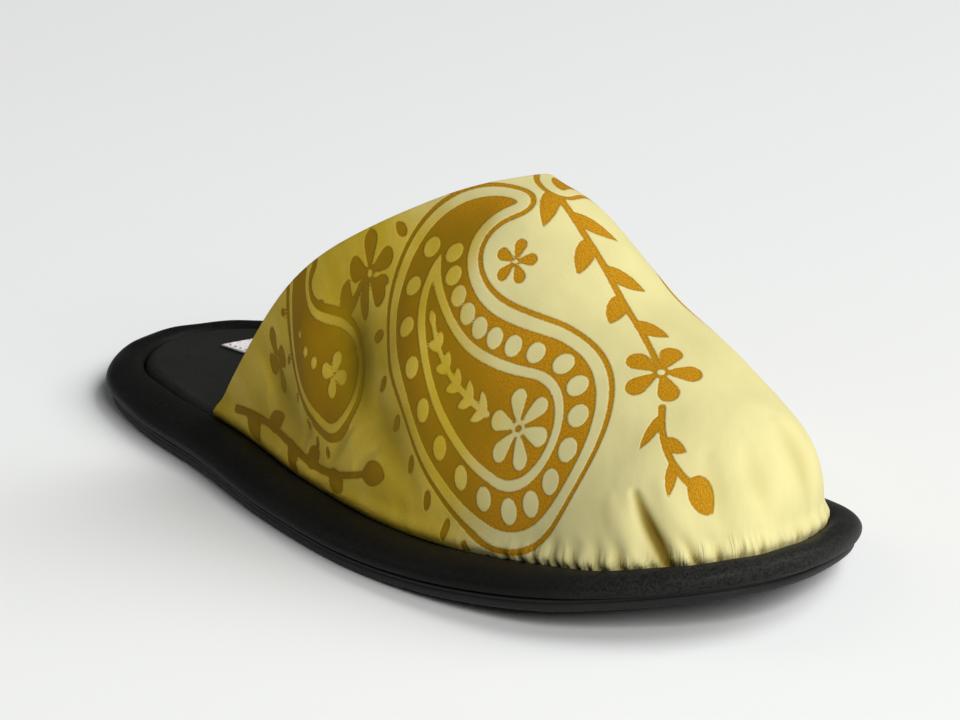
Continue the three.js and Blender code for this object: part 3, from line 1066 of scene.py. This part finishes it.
class SlipperSizes(bpy.types.PropertyGroup):
    wall: millimetre_property("Wall", "Thickness of the padded upper with its lining", 3.0)
    dome: millimetre_property("Footbed dome", "Rise of the footbed in its middle", 2.0)
    weave: millimetre_property("Weave", "Pitch of the binding's threads", 0.45)
    gathers: bpy.props.FloatProperty(name="Gathers", subtype="FACTOR", default=1.0, min=0, max=2,
                                     description="Depth of the creases against the usual ones")


class SlipperColours(bpy.types.PropertyGroup):
    ground: colour_property("Ground", "Pale satin of the brocade", (0.63, 0.585, 0.292))
    # The shade tones are the colours of shade painted down the sides and in the creases; they also
    # darken the thread floats and the print's outlines.
    ground_shade_tone: colour_property("Ground, sides", "Satin down the sides", (0.6, 0.41, 0.008))
    figure: colour_property("Figure", "Amber figures of the brocade", (0.41, 0.195, 0.006))
    figure_shade_tone: colour_property("Figure, sides", "Figures down the sides", (0.27, 0.155, 0.004))
    lining: colour_property("Lining", "Cloth inside the upper", (0.022, 0.016, 0.012))
    binding: colour_property("Binding", "Cloth round the edge of the sole", (0.0045, 0.0045, 0.0042))
    footbed: colour_property("Footbed", "Brushed cloth under the foot", (0.013, 0.013, 0.0122))
    outsole: colour_property("Outsole", "Rubber under the slipper", (0.009, 0.009, 0.0086))
    label: colour_property("Label", "Woven label on the footbed", (0.78, 0.74, 0.72))
    floor: colour_property("Floor", "Paper that the slipper stands on", (0.845, 0.86, 0.856))


class SlipperStage(bpy.types.PropertyGroup):
    azimuth: angle_property("Azimuth", "Camera's way round the slipper", 59.4)
    elevation: angle_property("Elevation", "Camera over the horizon", 16.09)
    roll: angle_property("Roll", "Turn of the camera on its own axis", -2.03)
    distance: millimetre_property("Distance", "From the point aimed at", 1334.0)
    aim: bpy.props.FloatVectorProperty(name="Aim", description="Point that the camera looks at",
                                       subtype="XYZ", unit="LENGTH", size=3,
                                       default=(0.0075, 0.0076, 0.0309))
    lens: bpy.props.FloatProperty(name="Lens", description="Focal length in millimetres",
                                  default=213.7)


# ---- Operators, one for each piece ----


def choices(context):
    """The sizes and colours that the user has set."""
    return context.scene.slipper_sizes, context.scene.slipper_colours


class SLIPPER_OT_upper(bpy.types.Operator):
    """Adds the padded brocade upper with its gathers, its rolled collar and its lining"""

    bl_idname = "slipper.upper"
    bl_label = "Upper"

    rows = 311
    columns = 271
    lining_step = 10
    rim_columns = 13
    rim_split = 6

    # Bearings, in degrees, at which the pleats of the toe start and are full.
    pleats = (84.0, 60.0)

    def execute(self, context):
        sizes, colours = choices(context)
        wall = sizes.wall / MM
        outer, inner = UpperForm(0), UpperForm(wall)
        angles = even_angles(outer, self.rows)
        face, x = form_grid(outer, angles, self.columns, wall / 2)
        places = cloth_places(outer, x, angles)
        figure = figured_cloth(places.reshape(-1, 2)).reshape(x.shape)
        face = relax(face)
        ways = outwards(face, outer)
        radius, bearing, height = seam_places(face)
        gathers = gather_relief(face)
        folds, shadow = fold_relief(face, ways)
        fields = {
            "figure": figure,
            # Shade painted down the sides.
            "side_shade": side_shade_share(face),
            # Shadow painted in the folds and the gathers.
            "crease_shade": np.clip(np.maximum(shadow, -GATHER_SHADOW * gathers), 0, 1),
            "cloth": np.concatenate([places, np.zeros((*x.shape, 1))], -1),
            "seam": np.stack([radius * np.radians(bearing), height,
                              smoothstep(np.abs(bearing), *self.pleats)], -1),
        }
        held = smoothstep(x - x[:, :1], 0, COLLAR_HOLD) * sizes.gathers
        relief = (gathers + folds) * held + pad_relief(face) * sizes.gathers
        face = face + ways * relief[..., None]
        back = relax(form_grid(inner, angles, self.columns, wall / 2)[0])[:, :: self.lining_step]
        ways = outwards(back, inner)
        folds, _ = fold_relief(back, ways)
        back = back + ways * (folds * held[:, :: self.lining_step])[..., None]

        skin = Skin()
        skin.grid(face, 0, **fields)
        rim = self.rolled_edge(face, back, wall / 2)
        collar = {key: np.repeat(field[:, :1], self.rim_split, 1) for key, field in fields.items()}
        skin.grid(rim[:, : self.rim_split], 0, **collar)
        skin.grid(rim[:, self.rim_split - 1 :], 1)
        skin.grid(back, 1)
        self.close_hem(skin, face, back)
        finishes = [brocade_finish(colours), woven_finish("lining", colours.lining, 0.0006, 0.75)]
        hang_padded(skin.make("upper_brocade", finishes), "upper")
        return {"FINISHED"}

    def rolled_edge(self, face, back, roll):
        """Half rounds from the brocade's edge over the collar to the lining's edge."""
        start, end = face[:, 0], back[:, 0]
        middle, reach = (start + end) / 2, (start - end) / 2
        ahead = start - face[:, 3]
        ahead /= np.linalg.norm(ahead, axis=1, keepdims=True)
        turns = np.linspace(0, math.pi, self.rim_columns)[None, :, None]
        return (middle[:, None] + reach[:, None] * np.cos(turns)
                + ahead[:, None] * roll * np.sin(turns))

    def close_hem(self, skin, face, back):
        """Joins the brocade's hem to the lining's hem under the upper."""
        step = self.lining_step
        for outer_hem, inner_hem in ((face[0], back[0]), (face[-1], back[-1])):
            for k in range(len(inner_hem) - 1):
                ends = np.linspace(inner_hem[k], inner_hem[k + 1], step + 1)
                skin.grid([outer_hem[k * step : (k + 1) * step + 1], ends], 1)


class SLIPPER_OT_binding(bpy.types.Operator):
    """Adds the padded cloth binding round the edge of the sole"""

    bl_idname = "slipper.binding"
    bl_label = "Binding"

    puckers = 23
    pucker_depth = 0.02

    # Section of the binding: a share of its width from the outer edge in, and a height.
    section = [
        (1.0, SEAT), (0.13, SEAT), (0.07, 3.5), (0.035, 3.9), (0.01, 4.4), (0.0, 5.0), (0.01, 5.6),
        (0.035, 6.15), (0.075, 6.7), (0.13, 7.2), (0.2, 7.65), (0.28, 8.0), (0.37, 8.3),
        (0.47, 8.52), (0.57, 8.66), (0.66, 8.7), (0.74, 8.64), (0.81, 8.5), (0.87, 8.28),
        (0.92, 7.98), (0.96, 7.6), (1.0, 7.1),
    ]

    def execute(self, context):
        sizes, colours = choices(context)
        turns = np.arange(480) / 480
        loops = []
        for share, height in self.section:
            pull = 1 + self.pucker_depth * np.sin(turns * 2 * math.pi * self.puckers + share * 2)
            loops.append(edge_points(turns, lambda x: binding_width(x) * share,
                                     SEAT + (height - SEAT) * pull))
        # The binding gets painted light towards the tip of the toe.
        finish = woven_finish("binding_cloth", colours.binding, sizes.weave, 0.42, relief=0.12,
                              toe_painted_light=4.5)
        piece = Skin().grid(closed([*loops, loops[0]])).make("binding_roll", [finish])
        hang_padded(piece, "edge_binding")
        return {"FINISHED"}


class SLIPPER_OT_footbed(bpy.types.Operator):
    """Adds the padded footbed"""

    bl_idname = "slipper.footbed"
    bl_label = "Footbed"

    # Edge of the footbed: an inset, a height, and the share of the heel's swell.
    profile = [(0, SEAT, 0), (0, 6.1, 0), (0.15, 6.6, 0.1), (0.5, 6.95, 0.3), (1.1, 7.2, 0.6),
               (1.9, 7.35, 0.85), (FOOTBED_ROLL, INSOLE_TOP, 1)]

    def execute(self, context):
        sizes, colours = choices(context)
        turns = np.arange(240) / 240
        puff = heel_puff(outline(turns)[0][:, 0])
        loops = [edge_points(turns, inside_binding(inset), height + share * puff)
                 for inset, height, share in self.profile]
        rise = sizes.dome / MM
        skin = Skin().grid(closed(loops)).grid(cap(loops[0], 16))
        skin.grid(cap(loops[-1], 44,
                      lambda x, y, share: dome(x, share, rise) + heel_puff(x) - HEEL_PUFF))
        piece = skin.make("footbed", [nap_finish("footbed_nap", colours.footbed)])
        hang_padded(piece, "insole")
        return {"FINISHED"}


class SLIPPER_OT_label(bpy.types.Operator):
    """Adds the blank woven label and its stitches"""

    bl_idname = "slipper.label"
    bl_label = "Label"

    # Heights over the footbed, and the running stitch: its inset, its pitch, the share of the
    # pitch that shows, and the thread's radius.
    under = 0.25
    top = 0.75
    stitch_height = 0.78
    stitch_inset = 1.3
    stitch_pitch = 2.6
    stitch_shows = (0.18, 0.82)
    thread_radius = 0.28

    def execute(self, context):
        sizes, colours = choices(context)
        low, high = (np.array(corner) / MM - HEEL_IN_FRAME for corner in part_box("insole_label"))
        rise = sizes.dome / MM
        x, y = np.meshgrid(np.linspace(low[0], high[0], 41), np.linspace(low[1], high[1], 25),
                           indexing="ij")
        ground = self.footbed_face(x, y, rise)
        top = np.stack([x, y, ground + self.top], -1)
        bottom = np.stack([x, y, ground + self.under], -1)
        skin = Skin().grid(top).grid(bottom)
        for edge in (np.s_[0], np.s_[-1], np.s_[:, 0], np.s_[:, -1]):
            skin.grid([top[edge], bottom[edge]])
        self.sew(skin, low[:2] + self.stitch_inset, high[:2] - self.stitch_inset, rise)
        satin = woven_finish("label_satin", colours.label, 0.0004, 0.5, (0.97, 1.0), 0.06)
        cotton = woven_finish("label_thread", shade(colours.label, 0.7), 0.0002, 0.7, (0.9, 1.1))
        piece = skin.make("label_satin", [satin, cotton])
        hang(piece, "insole_label")
        return {"FINISHED"}

    @staticmethod
    def footbed_face(x, y, rise):
        """Height of the domed footbed at places on it."""
        sides = side_lines(inside_binding(FOOTBED_ROLL))
        lateral, medial = (np.interp(x, *line) for line in sides)
        swell = dome(x, (y - lateral) / (medial - lateral), rise) + heel_puff(x)
        return INSOLE_TOP + lift(x, y) + swell

    def sew(self, skin, low, high, rise):
        """A running stitch round the label, a little inside its edge."""
        corners = np.array([low, (high[0], low[1]), high, (low[0], high[1]), low])
        for start, end in zip(corners[:-1], corners[1:]):
            length = np.linalg.norm(end - start)
            count = round(length / self.stitch_pitch)
            for k in range(count):
                share = (k + np.linspace(*self.stitch_shows, 7)) / count
                x, y = (start + share[:, None] * (end - start)).T
                height = self.footbed_face(x, y, rise) + self.stitch_height
                line = np.stack([x, y, height], -1)
                skin.grid(spindle(line, (end - start) / length, self.thread_radius), 1)


class SLIPPER_OT_outsole(bpy.types.Operator):
    """Adds the moulded outsole with its side line and its tread"""

    bl_idname = "slipper.outsole"
    bl_label = "Outsole"

    # Edge of the outsole: an inset and a height. The two places set further in are the side line.
    profile = [(2.7, 0), (2.1, 0.1), (1.7, 0.4), (1.4, 0.85), (1.3, 1.3), (1.3, 2.1),
               (1.55, 2.2), (1.55, 2.35), (1.3, 2.45), (1.3, OUTSOLE_TOP)]

    # The tread's waves, with their run for each radian of the swing, and the plain rim along the
    # sides, as a share across, and at the ends.
    tread_depth = 0.7
    tread_pitch = 6.5
    wave_swing = 2.6
    wave_run = 3.4
    groove_edge = (0.18, 0.42)
    side_rim = (0.05, 0.07)
    end_rim = (12.0, 14.0)

    def execute(self, context):
        turns = np.arange(480) / 480
        loops = [edge_points(turns, tucked(inset), height) for inset, height in self.profile]
        skin = Skin().grid(closed(loops)).grid(cap(loops[-1], 8))
        skin.grid(cap(loops[0], 90, self.tread))
        rubber = rubber_finish("sole_rubber", context.scene.slipper_colours.outsole)
        hang(skin.make("outsole_rubber", [rubber]), "outsole")
        return {"FINISHED"}

    def tread(self, x, y, share):
        """Shallow waves moulded into the ground face, with a plain rim."""
        along = (x + self.wave_swing * np.sin(y / self.wave_run)) / self.tread_pitch
        groove = 1 - smoothstep(np.abs(along % 1 - 0.5) * 2, *self.groove_edge)
        rim = smoothstep(np.minimum(share, 1 - share), *self.side_rim)
        ends = smoothstep(np.minimum(x, LENGTH - x), *self.end_rim)
        return self.tread_depth * groove * rim * ends


class SLIPPER_OT_stage(bpy.types.Operator):
    """Adds the floor, the lights and the camera"""

    bl_idname = "slipper.stage"
    bl_label = "Stage"

    floor_reach = 9.0
    floor_steps = 16
    sensor_width = 36.0
    view_end = 60.0
    sky = (0.93, 0.95, 0.96, 1.0)
    sky_strength = 0.08

    # Soft boxes: where each stands, in metres from the slipper, its size, its power in watts and
    # its colour.
    lamps = [
        ("window", (3.3, -0.5, 2.0), 1.9, 128.0, (1.0, 0.99, 0.97)),
        ("overhead", (1.3, 2.6, 2.7), 3.4, 150.0, (1.0, 1.0, 1.0)),
        ("fill", (-1.6, -0.9, 1.1), 1.2, 3.0, (1.0, 1.0, 1.0)),
    ]

    def execute(self, context):
        self.lay_floor(context)
        for lamp in self.lamps:
            self.hang_lamp(context, *lamp)
        world = bpy.data.worlds.new("studio")
        world.use_nodes = True
        background = world.node_tree.nodes["Background"]
        background.inputs["Color"].default_value = self.sky
        background.inputs["Strength"].default_value = self.sky_strength
        context.scene.world = world
        context.scene.view_settings.view_transform = "Standard"
        self.set_camera(context)
        return {"FINISHED"}

    def lay_floor(self, context):
        """A wide sheet of paper that the slipper stands on."""
        side = np.linspace(-self.floor_reach, self.floor_reach, self.floor_steps + 1) / MM
        x, y = np.meshgrid(side, side, indexing="ij")
        sheet = np.stack([x, y, 0 * x], -1) - HEEL_IN_FRAME
        paper = paper_finish("floor_paper", context.scene.slipper_colours.floor)
        Skin().grid(sheet).make("floor", [paper])

    def hang_lamp(self, context, name, place, size, watts, colour):
        """A square soft box that faces the slipper."""
        light = bpy.data.lights.new(name, "AREA")
        light.size, light.energy, light.color = size, watts, colour
        holder = bpy.data.objects.new(name, light)
        context.scene.collection.objects.link(holder)
        holder.location = place
        holder.rotation_euler = (-Vector(place)).to_track_quat("-Z", "Y").to_euler()

    def set_camera(self, context):
        """The camera at its angle to the slipper, aimed at the slipper's middle."""
        stage = context.scene.slipper_stage
        level = math.cos(stage.elevation)
        back = Vector((math.sin(stage.azimuth) * level, -math.cos(stage.azimuth) * level,
                       math.sin(stage.elevation)))
        lens = bpy.data.cameras.new("camera")
        lens.lens, lens.sensor_width, lens.clip_end = stage.lens, self.sensor_width, self.view_end
        camera = bpy.data.objects.new("camera", lens)
        context.scene.collection.objects.link(camera)
        turn = (-back).to_track_quat("-Z", "Y").to_matrix() @ Matrix.Rotation(stage.roll, 3, "Z")
        place = Vector(stage.aim) + back * stage.distance
        camera.matrix_world = Matrix.LocRotScale(place, turn, None)
        context.scene.camera = camera


PIECES = [SLIPPER_OT_upper, SLIPPER_OT_binding, SLIPPER_OT_footbed, SLIPPER_OT_label,
          SLIPPER_OT_outsole, SLIPPER_OT_stage]
GROUPS = {"slipper_sizes": SlipperSizes, "slipper_colours": SlipperColours,
          "slipper_stage": SlipperStage}


class SLIPPER_PT_panel(bpy.types.Panel):
    """Sizes and colours of the slipper, and a button for each of its pieces"""

    bl_idname = "SLIPPER_PT_panel"
    bl_label = "House slipper"
    bl_space_type = "VIEW_3D"
    bl_region_type = "UI"
    bl_category = "Slipper"

    def draw(self, context):
        for name, group in GROUPS.items():
            box = self.layout.box()
            for key in group.__annotations__:
                box.prop(getattr(context.scene, name), key)
        for piece in PIECES:
            self.layout.operator(piece.bl_idname)


def register():
    for item in (*GROUPS.values(), *PIECES, SLIPPER_PT_panel):
        bpy.utils.register_class(item)
    for name, group in GROUPS.items():
        setattr(bpy.types.Scene, name, bpy.props.PointerProperty(type=group))


def unregister():
    for name in GROUPS:
        delattr(bpy.types.Scene, name)
    for item in reversed((*GROUPS.values(), *PIECES, SLIPPER_PT_panel)):
        bpy.utils.unregister_class(item)


def main():
    """Builds every piece and the stage."""
    register()
    bpy.ops.slipper.upper()
    bpy.ops.slipper.binding()
    bpy.ops.slipper.footbed()
    bpy.ops.slipper.label()
    bpy.ops.slipper.outsole()
    bpy.ops.slipper.stage()


if __name__ == "__main__":
    main()
